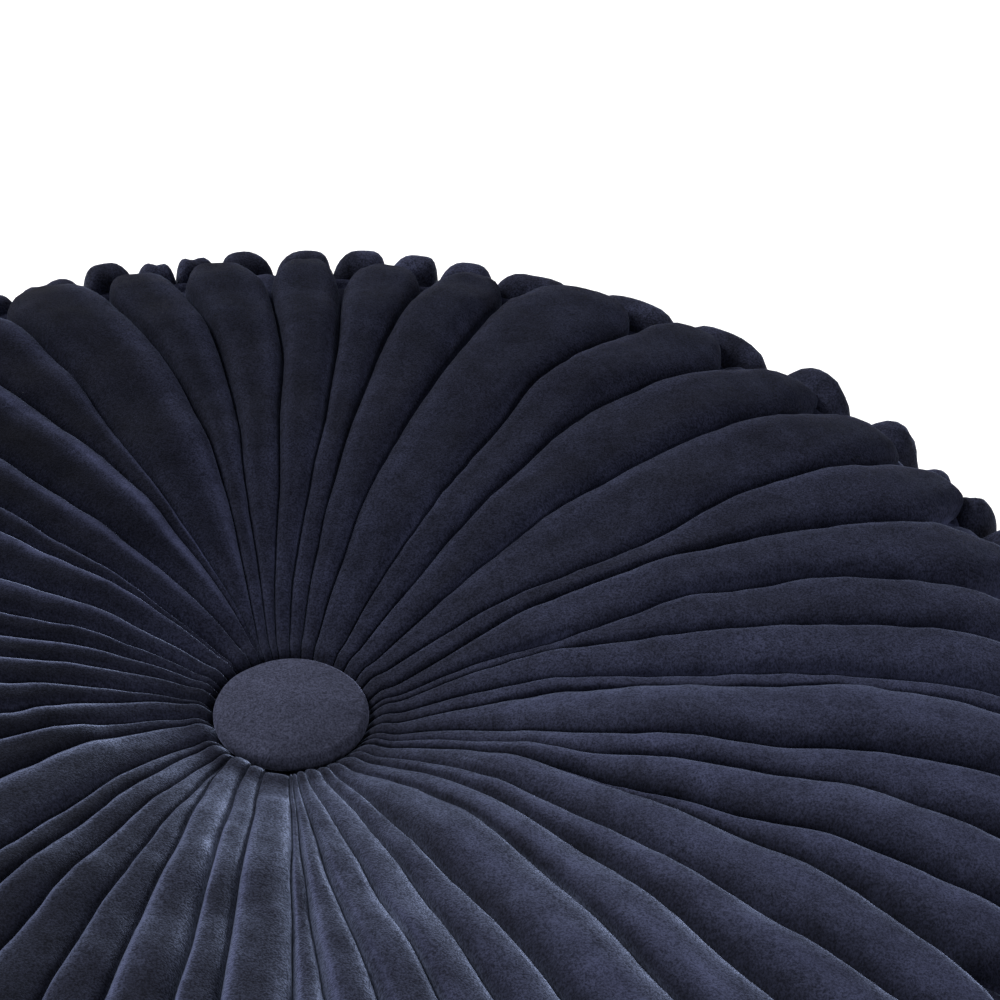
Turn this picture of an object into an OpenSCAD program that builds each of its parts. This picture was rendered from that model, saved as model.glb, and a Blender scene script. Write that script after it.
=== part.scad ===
// Round seat cushion with a boxing band, tufted through the centre between two covered buttons.
// Each pleated panel is one solid layer, as thick as its folds are deep.
// Frame: +Z up, origin at the centre of the underside, which rests on z = 0. Millimetres.

/* [Cushion] */
// Thickness from the resting face to the crown
cushion_h = 100; // [90:1:130]
// Outer radius of the two pleated panels at their rim seams
rim_r = 198; // [185:1:210]
// How far the boxing band bulges past the panels' rims
band_bulge = 10.4; // [8:0.2:14]
// Height of the pleated rim below the crown
rim_drop = 20; // [18:1:26]
// Depth of the velvet's pleats near the rim, which is the thickness of the folded layer there
pleat_depth = 11; // [9:0.5:11]

/* [Crown and dimples] */
// Radius of the highest ring of the top
crown_r = 115; // [100:1:130]
// Depth of the top dimple at the button's edge
top_dimple = 21; // [18:1:24]
// Inner radius of the flat ring that rests on the seat
rest_in_r = 80; // [60:1:100]
// Outer radius of the flat ring that rests on the seat
rest_out_r = 150; // [130:1:160]
// Depth of the underside dimple at the button's edge
under_dimple = 18; // [16:1:22]

/* [Buttons] */
// Diameter of the velvet-covered buttons
button_d = 38.1; // [34:0.1:42]
// Thickness of a covered button, without its loop
button_t = 8; // [7:0.5:9]
// Thickness of the velvet and its padding on the button
cover_t = 1.2; // [1:0.1:1.5]
// Wire diameter of the button's loop
loop_wire_d = 1.6; // [1.2:0.1:2]

/* [Lining and filling] */
// Thickness of the inner bag's calico
lining_t = 1.2; // [0.8:0.1:1.5]
// Radius of the channel left in the filling by the tufting twine
channel_r = 4.5; // [4:0.5:8]
// Clearance kept between neighbouring soft pieces
soft_gap = 0.3; // [0.2:0.1:0.4]

/* [Thread and twine] */
// Diameter of the tufting twine
twine_d = 1.8; // [1.4:0.1:2]
// Diameter of the seam thread
thread_d = 0.8; // [0.5:0.1:1]
// Radius at which the pleats are drawn together under a button
gather_r = 9; // [8:0.5:11]

/* [Hidden] */
$fn = 96;

velvet_color = [0.13, 0.14, 0.19];
calico_color = [0.86, 0.83, 0.75];
thread_color = [0.10, 0.11, 0.15];
twine_color = [0.93, 0.90, 0.82];

mid_z = cushion_h / 2;
rim_half = mid_z - rim_drop;       // height of a panel's rim from mid-height
button_r = button_d / 2;

// ---- shared profiles, as lists of [radius, z] ----
function reversed(points) = [for (i = [len(points) - 1 : -1 : 0]) points[i]];

// Solid of revolution between two profiles that run the same way.
module shell(outer, inner) rotate_extrude() polygon(concat(outer, reversed(inner)));

module ring(radius, z, wire_d)
    translate([0, 0, z]) rotate_extrude() translate([radius, 0]) circle(d = wire_d, $fn = 24);

// Curve bulging outward at mid-height, from low to high.
function bulge_curve(end_r, bulge, half_h, steps = 16, r_power = 0.9, z_power = 1) =
    [for (i = [0 : steps]) let (angle = -90 + i * 180 / steps)
        [end_r + bulge * pow(cos(angle), r_power),
         mid_z + half_h * sign(angle) * pow(abs(sin(angle)), z_power)]];

// ---- panel curves ----
tuck_sink = 1.4;                   // velvet under the button, below the dimple's depth
tuck_r = button_r - 1.2;           // outer end of that tucked part
seat_sink = 0.5;                   // velvet where it leaves the button, below the dimple's depth
seat_r = button_r + 0.45;          // where the velvet leaves the button
climb_r = seat_r + 0.6;            // where the dimple starts to climb
dimple_power = 2.5;                // how sharply a dimple climbs out
shoulder_power = 2.6;              // roundness of the panel's shoulder
curve_steps = 12;
full_fold_r = 150;                 // radius from which the pleats have their full depth
min_fold = 0.25;                   // least depth of the pleats, as a share of the full depth
fold_power = 0.7;                  // how fast the pleats deepen outward

// Depth of the folded layer: the pleats are shallow where they crowd together at the button.
function fold(radius) =
    pleat_depth * max(min_fold, pow(min(1, radius / full_fold_r), fold_power));

// [radius, depth] from the gathered centre to the rim. The depth is measured inward
// from the plane of the crown or of the resting face.
// layer = 0 is the outer face and 1 the bottom of the folds; inset moves the curve further in.
function panel_curve(layer, inset, in_r, flat_in_r, flat_out_r, dimple) =
    let (end_r = rim_r - layer * pleat_depth - inset)
    concat(
        [for (radius = [in_r, tuck_r])
            [radius, dimple + tuck_sink + layer * fold(radius) + inset]],
        [[seat_r, dimple + seat_sink + layer * fold(seat_r) + inset]],
        [for (i = [1 : curve_steps])
            let (part = i / curve_steps, radius = climb_r + (flat_in_r - climb_r) * part)
            [radius, dimple * pow(1 - part, dimple_power) + layer * fold(radius) + inset]],
        [for (i = [0 : curve_steps])
            let (angle = i * 90 / curve_steps,
                 radius = flat_out_r
                     + (end_r - flat_out_r) * pow(sin(angle), 2 / shoulder_power),
                 depth = layer * fold(radius) + inset)
            [radius, depth + (rim_drop - depth) * (1 - cos(angle))]]);

// Drops repeated points, such as where the climb and the shoulder meet at the crown.
function distinct(points) =
    [for (i = [0 : len(points) - 1])
        if (i == 0 || norm(points[i] - points[i - 1]) > 0.02) points[i]];

function top_curve(layer, inset, in_r) =
    [for (point = distinct(panel_curve(layer, inset, in_r, crown_r, crown_r, top_dimple)))
        [point[0], cushion_h - point[1]]];
function under_curve(layer, inset, in_r) =
    distinct(panel_curve(layer, inset, in_r, rest_in_r, rest_out_r, under_dimple));

// ---- velvet ----
band_r = rim_r + 0.6;              // inner radius of the band's sewn edges
band_half = rim_half + 3.4;        // half height of the band
band_edge_t = 1.5;                 // height of the flat inner edge at top and bottom
band_inner_bulge = 0.4;

module top_panel() color(velvet_color)
    shell(top_curve(0, 0, gather_r), top_curve(1, 0, gather_r));

module bottom_panel() color(velvet_color)
    shell(under_curve(0, 0, gather_r), under_curve(1, 0, gather_r));

module side_band() color(velvet_color)
    shell(bulge_curve(band_r, band_bulge, band_half, steps = 24, r_power = 0.7, z_power = 0.85),
          bulge_curve(band_r, band_inner_bulge, band_half - band_edge_t, r_power = 1));

// ---- threads ----
rim_seam_r = rim_r - 3.4;
rim_seam_depth = rim_drop + 0.7;
gather_thread_r = gather_r + 1;
// Depth of a gather thread, just past the bottom of the folds
function gather_depth(dimple) = dimple + tuck_sink + fold(gather_r) + 0.75;

module top_rim_seam() color(thread_color) ring(rim_seam_r, cushion_h - rim_seam_depth, thread_d);
module bottom_rim_seam() color(thread_color) ring(rim_seam_r, rim_seam_depth, thread_d);
module top_gather_thread() color(thread_color)
    ring(gather_thread_r, cushion_h - gather_depth(top_dimple), thread_d);
module bottom_gather_thread() color(thread_color)
    ring(gather_thread_r, gather_depth(under_dimple), thread_d);

// ---- inner bag ----
lining_inset = soft_gap + 1.2;     // from the bottom of the folds to the lining's outer face
lining_rim_r = rim_r - pleat_depth - lining_inset;
lining_side_r = lining_rim_r + 0.4;
lining_side_bulge = 9;
lining_side_half = rim_half - 2.4;
lining_seam_r = lining_rim_r - 0.2;
lining_seam_depth = rim_drop + 1.1;

module lining_top() color(calico_color)
    shell(top_curve(1, lining_inset, channel_r), top_curve(1, lining_inset + lining_t, channel_r));
module lining_bottom() color(calico_color)
    shell(under_curve(1, lining_inset, channel_r),
          under_curve(1, lining_inset + lining_t, channel_r));
module lining_side() color(calico_color)
    shell(bulge_curve(lining_side_r, lining_side_bulge, lining_side_half),
          bulge_curve(lining_side_r - lining_t, lining_side_bulge, lining_side_half));
module lining_top_seam() color(calico_color)
    ring(lining_seam_r, cushion_h - lining_seam_depth, thread_d);
module lining_bottom_seam() color(calico_color)
    ring(lining_seam_r, lining_seam_depth, thread_d);

// ---- filling ----
fill_inset = lining_inset + lining_t + soft_gap;
fill_side_r = lining_rim_r - lining_t - soft_gap - 1;
fill_side_bulge = 8.6;
fill_side_half = rim_half - 3.2;

module fibre_fill() color([0.95, 0.95, 0.93])
    shell(concat(under_curve(1, fill_inset, channel_r),
                 bulge_curve(fill_side_r, fill_side_bulge, fill_side_half)),
          top_curve(1, fill_inset, channel_r));

// ---- covered button, its back on z = 0 and its dome up ----
cover_hole_r = 6;                  // opening in the back of the cover
cover_lip_t = 1;                   // thickness of the cover turned under the back
shell_gap = 0.1;                   // between the cover and the metal shell
shell_wall = 0.7;
shell_r = button_r - cover_t - shell_gap;
shell_top = button_t - cover_t - shell_gap;
shell_base_z = cover_lip_t + shell_gap;
plate_r = shell_r - shell_wall - 0.2;
plate_z = 1.2;
plate_t = 0.9;
boss_r = 5.6;                      // raised centre of the back plate
boss_z = 0.2;
boss_h = 1.2;
loop_r = 3.2;                      // centreline radius of the bow and place of its legs
bow_z = -1.2;                      // centre of the bow
leg_h = 3.9;
head_z = 2.2;                      // widened ends of the legs, above the plate
head_h = 0.7;
head_d = loop_wire_d + 1.2;

// Half profile of a dome: straight side up to side_h, rounded edge, then a parabola to the axis.
function dome(radius, top, edge_r, side_h) = concat(
    [for (i = [0 : 6]) let (angle = i * 15)
        [radius - edge_r + edge_r * cos(angle), side_h + edge_r * sin(angle)]],
    [for (i = [1 : 8]) let (part = 1 - i / 8)
        [(radius - edge_r) * part,
         side_h + edge_r + (top - side_h - edge_r) * (1 - part * part)]]);

module button_cover() color(velvet_color)
    shell(concat([[cover_hole_r, 0], [button_r - 1.5, 0], [button_r - 0.4, 0.6], [button_r, 1.8]],
                 dome(button_r, button_t, edge_r = 2.6, side_h = 2.4)),
          concat([[cover_hole_r, cover_lip_t], [button_r - cover_t, cover_lip_t]],
                 dome(button_r - cover_t, button_t - cover_t, edge_r = 1.8, side_h = 2.2)));

module button_shell() color([0.80, 0.80, 0.82])
    shell(concat([[shell_r, shell_base_z]],
                 dome(shell_r, shell_top, edge_r = 1.7, side_h = 2.2)),
          concat([[shell_r - shell_wall, shell_base_z]],
                 dome(shell_r - shell_wall, shell_top - shell_wall, edge_r = 1.2, side_h = 2.0)));

module button_back_plate() color([0.72, 0.72, 0.74]) difference() {
    union() {
        translate([0, 0, plate_z]) cylinder(r = plate_r, h = plate_t);
        translate([0, 0, boss_z]) cylinder(r = boss_r, h = boss_h);
    }
    // Holes for the loop's legs
    for (side = [-1, 1])
        translate([side * loop_r, 0, -1]) cylinder(r = loop_wire_d / 2 + 0.05, h = 5, $fn = 32);
}

module button_loop() color([0.66, 0.66, 0.68]) {
    translate([0, 0, bow_z]) rotate([90, 0, 0]) rotate([0, 0, 180])
        rotate_extrude(angle = 180) translate([loop_r, 0]) circle(d = loop_wire_d, $fn = 24);
    for (side = [-1, 1]) {
        translate([side * loop_r, 0, bow_z]) cylinder(d = loop_wire_d, h = leg_h, $fn = 24);
        translate([side * loop_r, 0, head_z]) cylinder(d = head_d, h = head_h, $fn = 32);
    }
}

button_sink = 1;                   // button's back, below the dimple's depth
top_back_z = cushion_h - top_dimple - button_sink;
under_back_z = under_dimple + button_sink;

module at_top() translate([0, 0, top_back_z]) children();
module at_bottom() translate([0, 0, under_back_z]) mirror([0, 0, 1]) children();

module top_button_cover() at_top() button_cover();
module top_button_shell() at_top() button_shell();
module top_button_back_plate() at_top() button_back_plate();
module top_button_loop() at_top() button_loop();
module bottom_button_cover() at_bottom() button_cover();
module bottom_button_shell() at_bottom() button_shell();
module bottom_button_back_plate() at_bottom() button_back_plate();
module bottom_button_loop() at_bottom() button_loop();

// ---- tufting twine, looped through both buttons and hitched above the lower one ----
eye_r = 2.3;
eye_offset = loop_r - bow_z;       // from a button's back to the far point of its loop
top_eye_z = top_back_z - eye_offset;
under_eye_z = under_back_z + eye_offset;
twine_low_z = under_eye_z + eye_r;
knot_z = twine_low_z + 2.6;        // lowest turn of the knot
knot_turn_r = twine_d + 0.05;
knot_pitch = twine_d + 0.1;
knot_cord_d = twine_d - 0.1;

module eye(z) translate([0, 0, z]) rotate([0, 90, 0])
    rotate_extrude() translate([eye_r, 0]) circle(d = twine_d, $fn = 24);

module tufting_twine() color(twine_color) {
    eye(top_eye_z);
    eye(under_eye_z);
    translate([0, 0, twine_low_z])
        cylinder(d = twine_d, h = top_eye_z - eye_r - twine_low_z, $fn = 24);
}

module twine_knot() color(twine_color)
    for (i = [0 : 2]) ring(knot_turn_r, knot_z + i * knot_pitch, knot_cord_d);

top_panel();
side_band();
bottom_panel();
top_rim_seam();
bottom_rim_seam();
top_gather_thread();
bottom_gather_thread();
lining_top();
lining_side();
lining_bottom();
lining_top_seam();
lining_bottom_seam();
fibre_fill();
top_button_cover();
top_button_shell();
top_button_back_plate();
top_button_loop();
bottom_button_cover();
bottom_button_shell();
bottom_button_back_plate();
bottom_button_loop();
tufting_twine();
twine_knot();
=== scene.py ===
# A round, tufted velvet cushion: a pleated cover on each face, a gathered band round the
# side, and a covered button in the middle of each face, tied together by twine through
# a fibre filling in a calico bag.
#
# It lies flat on the floor z = 0 with its axis on +Z. The camera stands on the -Y side, so
# -Y is near, +Y far, -X left and +X right. Bearings are in degrees anticlockwise from +X.
# Shapes are worked out in millimetres, and add_mesh turns them into metres.
import math
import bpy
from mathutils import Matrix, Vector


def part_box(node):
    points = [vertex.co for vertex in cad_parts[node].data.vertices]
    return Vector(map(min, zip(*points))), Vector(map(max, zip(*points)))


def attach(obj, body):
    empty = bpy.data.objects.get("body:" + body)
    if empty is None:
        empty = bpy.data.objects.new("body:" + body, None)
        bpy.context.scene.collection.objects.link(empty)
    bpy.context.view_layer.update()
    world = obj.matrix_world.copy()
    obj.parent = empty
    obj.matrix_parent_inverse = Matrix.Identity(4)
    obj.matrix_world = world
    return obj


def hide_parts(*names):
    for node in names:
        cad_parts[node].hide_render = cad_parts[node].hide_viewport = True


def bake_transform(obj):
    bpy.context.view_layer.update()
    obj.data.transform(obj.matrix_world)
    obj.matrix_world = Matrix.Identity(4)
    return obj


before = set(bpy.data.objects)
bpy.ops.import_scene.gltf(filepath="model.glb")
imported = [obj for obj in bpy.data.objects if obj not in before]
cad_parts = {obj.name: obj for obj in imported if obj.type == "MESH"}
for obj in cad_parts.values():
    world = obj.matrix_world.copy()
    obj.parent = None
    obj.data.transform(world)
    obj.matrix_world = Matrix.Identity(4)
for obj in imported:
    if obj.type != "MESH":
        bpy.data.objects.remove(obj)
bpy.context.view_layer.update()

from types import SimpleNamespace

import bmesh
import bpy
import numpy as np
from mathutils import Matrix, Vector

MM = 0.001
TAU = 2 * math.pi


# ------------------------------------------------------------------ numbers and curves
def box_mm(part):
    low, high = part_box(part)
    return np.array(low) * 1000, np.array(high) * 1000


def clamp(value):
    return np.clip(value, 0, 1)


def smooth(value, start, end):
    """Soft step from 0 at start to 1 at end; start may be the larger."""
    t = clamp((np.asarray(value, float) - start) / (end - start))
    return t * t * (3 - 2 * t)


def bell(value, middle, width):
    return np.exp(-((value - middle) / width) ** 2)


def quarter_round(value):
    """Rises from 0 to 1 along a quarter circle."""
    return np.sqrt(clamp(1 - (1 - clamp(value)) ** 2))


def aim(angle, bearing):
    """1 where an angle in radians points along a bearing, -1 where it points away."""
    return np.cos(angle - math.radians(bearing))


def around(count):
    return np.linspace(0, TAU, count, endpoint=False)


def softened(values, window):
    """Moving average of an odd window, weighted towards its middle."""
    weights = np.hanning(window)
    weights /= weights.sum()
    return np.convolve(np.pad(values, window // 2, mode="edge"), weights, "valid")


def run_along(x, y):
    """Length along a flat curve, at each of its points."""
    return np.concatenate([[0], np.cumsum(np.hypot(np.diff(x), np.diff(y)))])


def waves(seed, shortest, longest, count=14):
    """A smooth, repeatable field of small irregularities: sines in random directions."""
    rng = np.random.RandomState(seed)
    directions = rng.normal(size=(count, 3))
    directions /= np.linalg.norm(directions, axis=1)[:, None]
    lengths = shortest * (longest / shortest) ** rng.rand(count)
    vectors = TAU * directions / lengths[:, None]
    phases = rng.rand(count) * TAU

    def field(points):
        total = np.zeros(len(points))
        for vector, phase in zip(vectors, phases):
            total += np.sin(points @ vector + phase)
        return total / math.sqrt(count / 2)

    return field


# ------------------------------------------------------------------ meshes
def add_mesh(name, verts_mm, faces, smooth_shading=True):
    mesh = bpy.data.meshes.new(name)
    verts = np.asarray(verts_mm, np.float32) * MM
    faces = np.asarray(faces, np.int32)
    mesh.vertices.add(len(verts))
    mesh.vertices.foreach_set("co", verts.ravel())
    mesh.loops.add(faces.size)
    mesh.loops.foreach_set("vertex_index", faces.ravel())
    mesh.polygons.add(len(faces))
    starts = np.arange(0, faces.size, faces.shape[1], dtype=np.int32)
    mesh.polygons.foreach_set("loop_start", starts)
    mesh.update(calc_edges=True)
    mesh.validate()
    if smooth_shading:
        mesh.polygons.foreach_set("use_smooth", np.ones(len(mesh.polygons), bool))
    ob = bpy.data.objects.new(name, mesh)
    bpy.context.scene.collection.objects.link(ob)
    return ob


def grid_faces(rows, cols, flip=False):
    """Quads of a grid whose columns close into a ring."""
    i = np.arange(rows - 1)[:, None] * cols
    j = np.arange(cols)[None, :]
    k = (j + 1) % cols
    quads = np.stack([i + j, i + k, i + cols + k, i + cols + j], -1).reshape(-1, 4)
    return quads[:, ::-1] if flip else quads


def from_polar(radius, angle, height):
    return np.stack([radius * np.cos(angle), radius * np.sin(angle), height + 0 * radius], -1)


def push_out(points, angle, amount):
    """Move points away from the axis."""
    points[:, 0] += amount * np.cos(angle)
    points[:, 1] += amount * np.sin(angle)


def turn_profile(radii, heights, cols):
    """A profile turned round the axis: radius, height, angle and place of every point."""
    radius, height = np.repeat(radii, cols), np.repeat(heights, cols)
    angle = np.tile(around(cols), len(radii))
    return radius, height, angle, from_polar(radius, angle, height)


# ------------------------------------------------------------------ driving sizes
top_high = box_mm("top_panel")[1]
HEIGHT = float(top_high[2])                      # thickness of the cushion
MID_Z = HEIGHT / 2
RIM_R = float(top_high[0])                       # radius of the panels
BAND_R = float(box_mm("side_band")[1][0])        # radius of the bulging band
DROP = 20.0                                      # height of the shoulder
SEAM_BELOW = DROP + 1.6                          # rim seam, below the crown
SEAM_R, SEAM_Z = RIM_R - 3.4, HEIGHT - SEAM_BELOW

# The dimple round the button ends at crown_r; the face is level from there to flat_r.
TOP_FACE = dict(crown_r=115, flat_r=115, dimple=21.0)
BOTTOM_FACE = dict(crown_r=80, flat_r=150, dimple=18.0)
DIMPLE_POWER = 2.5
UNDER_BUTTON = 1.4                               # extra depth under the button
TOP_SEED, BOTTOM_SEED, BAND_SEED = 11, 42, 7

# ------------------------------------------------------------------ pleat layout
# Bearings of the creases between neighbouring pleats, at these distances from the axis.
CREASE_R = (24, 42, 64, 96, 135, 178)
CREASES = (
    (-74, -72.3, -71, -69.8, -68.7, -68.3), (-68, -66.9, -66, -63.9, -63, -62.6),
    (-60, -54.3, -52.4, -53.1, -55, -55.3), (-50.5, -46.3, -45.8, -46, -47.7, -48.9),
    (-45, -41.2, -40.8, -40.8, -41, -41.8), (-36.6, -32.9, -32.6, -32.8, -33.1, -35.7),
    (-35.6, -32.4, -32.2, -31.3, -28.9, -29), (-31.5, -28.5, -28.4, -24.7, -21.6, -22.2),
    (-26.5, -23.2, -23, -20.3, -15.9, -15.5), (-18, -13.3, -10, -8.6, -6.7, -8),
    (-9.5, -6.5, -6.3, -5.6, -4.6, -5.4), (-1, 2, 2.1, 2.4, 2.7, 1),
    (4, 6, 4.9, 9.9, 10.5, 7.2), (12, 14.8, 17.2, 18.8, 18.8, 16.7),
    (25, 23.7, 22.4, 23.4, 26.8, 26.2), (35.5, 36.8, 37.3, 38.8, 38.4, 35.8),
    (48, 48.6, 48.8, 49.9, 50.1, 45), (57.5, 58.5, 57.4, 58.2, 58.2, 55.1),
    (74, 73.6, 72.7, 71.5, 69.7, 68.3), (83, 82.2, 80.7, 79.7, 78.7, 76.3),
    (90.5, 88.6, 85.6, 84, 83.7, 84.4), (98.5, 95, 92, 91.1, 90.3, 91.5),
    (103, 100.2, 99.2, 97.6, 97.9, 100), (108.6, 105.2, 103, 103, 104.7, 107.3),
    (109.8, 112.8, 115.5, 116.7, 116, 117.6), (112, 115, 118.3, 120.8, 123.7, 126),
    (119.5, 125.5, 129.9, 132.2, 134, 135), (131, 137, 139.8, 141.3, 142.5, 143),
    (133.5, 139.5, 144.2, 146.6, 148, 149), (142.5, 150, 154.4, 157, 158, 158.5),
    (152, 159, 163.6, 166, 167, 167.5), (157, 164.8, 169.5, 172.5, 173.5, 174),
    (163.5, 172.3, 177, 180, 181, 181.5), (174, 181, 184.9, 187.5, 188.5, 189),
    (177.5, 187, 193, 196, 197.5, 198), (190, 197.5, 200.9, 204, 205.5, 206),
    (195.5, 204, 209.7, 213, 214.5, 215), (211, 218.7, 223.6, 225.4, 226.3, 226),
    (216, 224.6, 228.3, 230, 231.5, 232), (226, 232.5, 234.7, 236.4, 238, 238.5),
    (231, 239, 241.6, 243.2, 245, 245.5), (232.5, 242.3, 247.2, 249.4, 250.8, 252),
    (245, 251.6, 255, 256.8, 257.6, 258), (254, 258.8, 260.6, 261.5, 262.5, 263),
    (268.5, 269.8, 269.6, 269.7, 269.2, 269), (270.5, 271.4, 271.7, 272.8, 274.2, 275),
    (273, 274.5, 275.8, 278.3, 280, 280.5), (278.2, 280.5, 282.2, 284.8, 285.8, 286),
)
PLEATS = len(CREASES)
FACING = np.radians([crease[2] for crease in CREASES])
MIRROR_SUM = 211.0             # a crease of the bottom panel lies at this less the listed bearing
STARTS = {24: 30.0, 43: 34.0}  # pleats that begin short of the button: index, radius
CREASE_LIFT = 0.24             # the pile closes this lowest part of every crease
ROWS = 98                      # rows of a panel, from button to rim
LOBE, GUSSET = 16, 5           # columns over a pleat, and over the valley beside it
COLS = LOBE + GUSSET
GUSSET_AT = np.arange(1, GUSSET + 1) / (GUSSET + 1)


def crease_angles(radius, seed, mirrored=False):
    """Crease angles in radians for each row: an array of rows by PLEATS + 1."""
    rng = np.random.RandomState(seed)
    knots = np.array(CREASES, float)
    # a pleat leans out over the crease beside it, most of all near the button
    knots += (1.2 + 55.0 / np.array(CREASE_R)) * np.cos(np.radians(knots))
    if mirrored:
        knots = (MIRROR_SUM - knots)[::-1]
    fine_r = np.arange(4, 204, 1.0)
    angles = np.zeros((len(radius), PLEATS + 1))
    for i, knot in enumerate(knots):
        line = np.interp(fine_r, CREASE_R, knot)
        # carry on the twist into the button
        slope = (knot[1] - knot[0]) / (CREASE_R[1] - CREASE_R[0])
        twisted = knot[0] - slope * (CREASE_R[0] - fine_r) * 0.8
        line = softened(np.where(fine_r < CREASE_R[0], twisted, line), 19)
        wobble = sum(rng.uniform(-1, 1) * np.sin(radius * TAU / length + rng.rand() * TAU)
                     for length in (26, 44, 80))
        wobble = wobble * 0.16 / np.maximum(radius, 45) * smooth(radius, 25, 70)
        angles[:, i] = np.radians(np.interp(radius, fine_r, line)) + wobble
    angles[:, PLEATS] = angles[:, 0] + TAU
    # creases never cross: every pleat keeps at least a sliver of width
    gap = np.diff(angles, axis=1)
    least = 0.55 / np.maximum(radius, 12)[:, None]
    gap = gap + np.maximum(least - gap, 0)
    gap *= TAU / gap.sum(1)[:, None]
    angles[:, 1:] = angles[:, :1] + np.cumsum(gap, axis=1)
    return angles


def loaf(power_x, power_y):
    """Cross-section of a pleat, evenly spaced along the cloth: x from -1 to 1, y from 0 to 1."""
    angle = np.linspace(0, math.pi, 400)
    cosine, sine = np.cos(angle), np.sin(angle)
    x = -np.sign(cosine) * np.abs(cosine) ** (2 / power_x)
    y = np.maximum(sine, 0) ** (2 / power_y)
    run = run_along(x, 0.9 * y)
    even = np.linspace(0, run[-1], LOBE)
    return np.interp(even, run, x), np.interp(even, run, y)


def lay_gussets(grid, heights):
    """Spread the gusset columns between each pleat and the next; return their mixed heights.

    The grid is rows by pleats by columns by (radius, angle, height or depth).
    """
    start = grid[:, :, LOBE - 1, 1]
    end = np.roll(grid[:, :, 0, 1], -1, axis=1)
    end[:, -1] += TAU
    grid[:, :, LOBE:, 1] = start[..., None] + (end - start)[..., None] * GUSSET_AT
    following = np.roll(heights, -1, axis=1)
    return heights[..., None] * (1 - GUSSET_AT) + following[..., None] * GUSSET_AT


# ------------------------------------------------------------------ the two pleated panels
def crest_curve(crown_r, flat_r, dimple):
    """Radius, depth below the crown and run of a panel, from under the button to the seam."""
    button_r = 18.2
    dimple_r = button_r + 1.2
    t = np.linspace(0, 1, 160)[1:]
    slope_r = dimple_r + (crown_r - dimple_r) * t
    # the pleats swell up round the button
    slope_depth = dimple * (1 - t) ** DIMPLE_POWER - 1.5 * bell(slope_r, 22.6, 3.0)
    radius = [np.linspace(10.5, button_r, 10), slope_r]
    depth = [np.full(10, dimple + UNDER_BUTTON), slope_depth]
    if flat_r > crown_r:
        radius.append(np.linspace(crown_r, flat_r, 60)[1:])
        depth.append(np.zeros(59))
    # the shoulder, then the tip of a pleat turning in to the seam
    angle = np.radians(np.linspace(0, 96, 140)[1:])
    radius += [flat_r + (RIM_R - flat_r) * np.abs(np.sin(angle)) ** (2 / 2.9),
               [RIM_R - 1.6, SEAM_R]]
    depth += [DROP * (1 - np.cos(angle)), [DROP + 2.6, SEAM_BELOW]]
    radius, depth = np.concatenate(radius), np.concatenate(depth)
    return radius, depth, run_along(radius, depth)


def panel_rows(face):
    """Rows of a panel: radius, depth, outward direction, run, and run left to the seam."""
    curve_r, curve_depth, curve_run = crest_curve(**face)
    total = curve_run[-1]
    # rows are closer together near the button and at the tips
    part = np.linspace(0, 1, 4000)
    density = 1 + 1.2 * bell(part * total, 0, 30) + 1.9 * bell((1 - part) * total, 0, 16)
    spent = np.concatenate([[0], np.cumsum(density)])[:-1]
    run = np.interp(np.linspace(0, spent[-1], ROWS), spent, part) * total
    even = np.linspace(0, total, 900)
    slope_r, slope_depth = (
        np.gradient(softened(np.interp(even, curve_run, curve), 23), even)
        for curve in (curve_r, curve_depth))
    out_r, out_depth = np.interp(run, even, slope_depth), np.interp(run, even, -slope_r)
    length = np.hypot(out_r, out_depth)
    return SimpleNamespace(
        radius=np.interp(run, curve_run, curve_r), depth=np.interp(run, curve_run, curve_depth),
        out_r=out_r / length, out_depth=out_depth / length, run=run, left=total - run)


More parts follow.
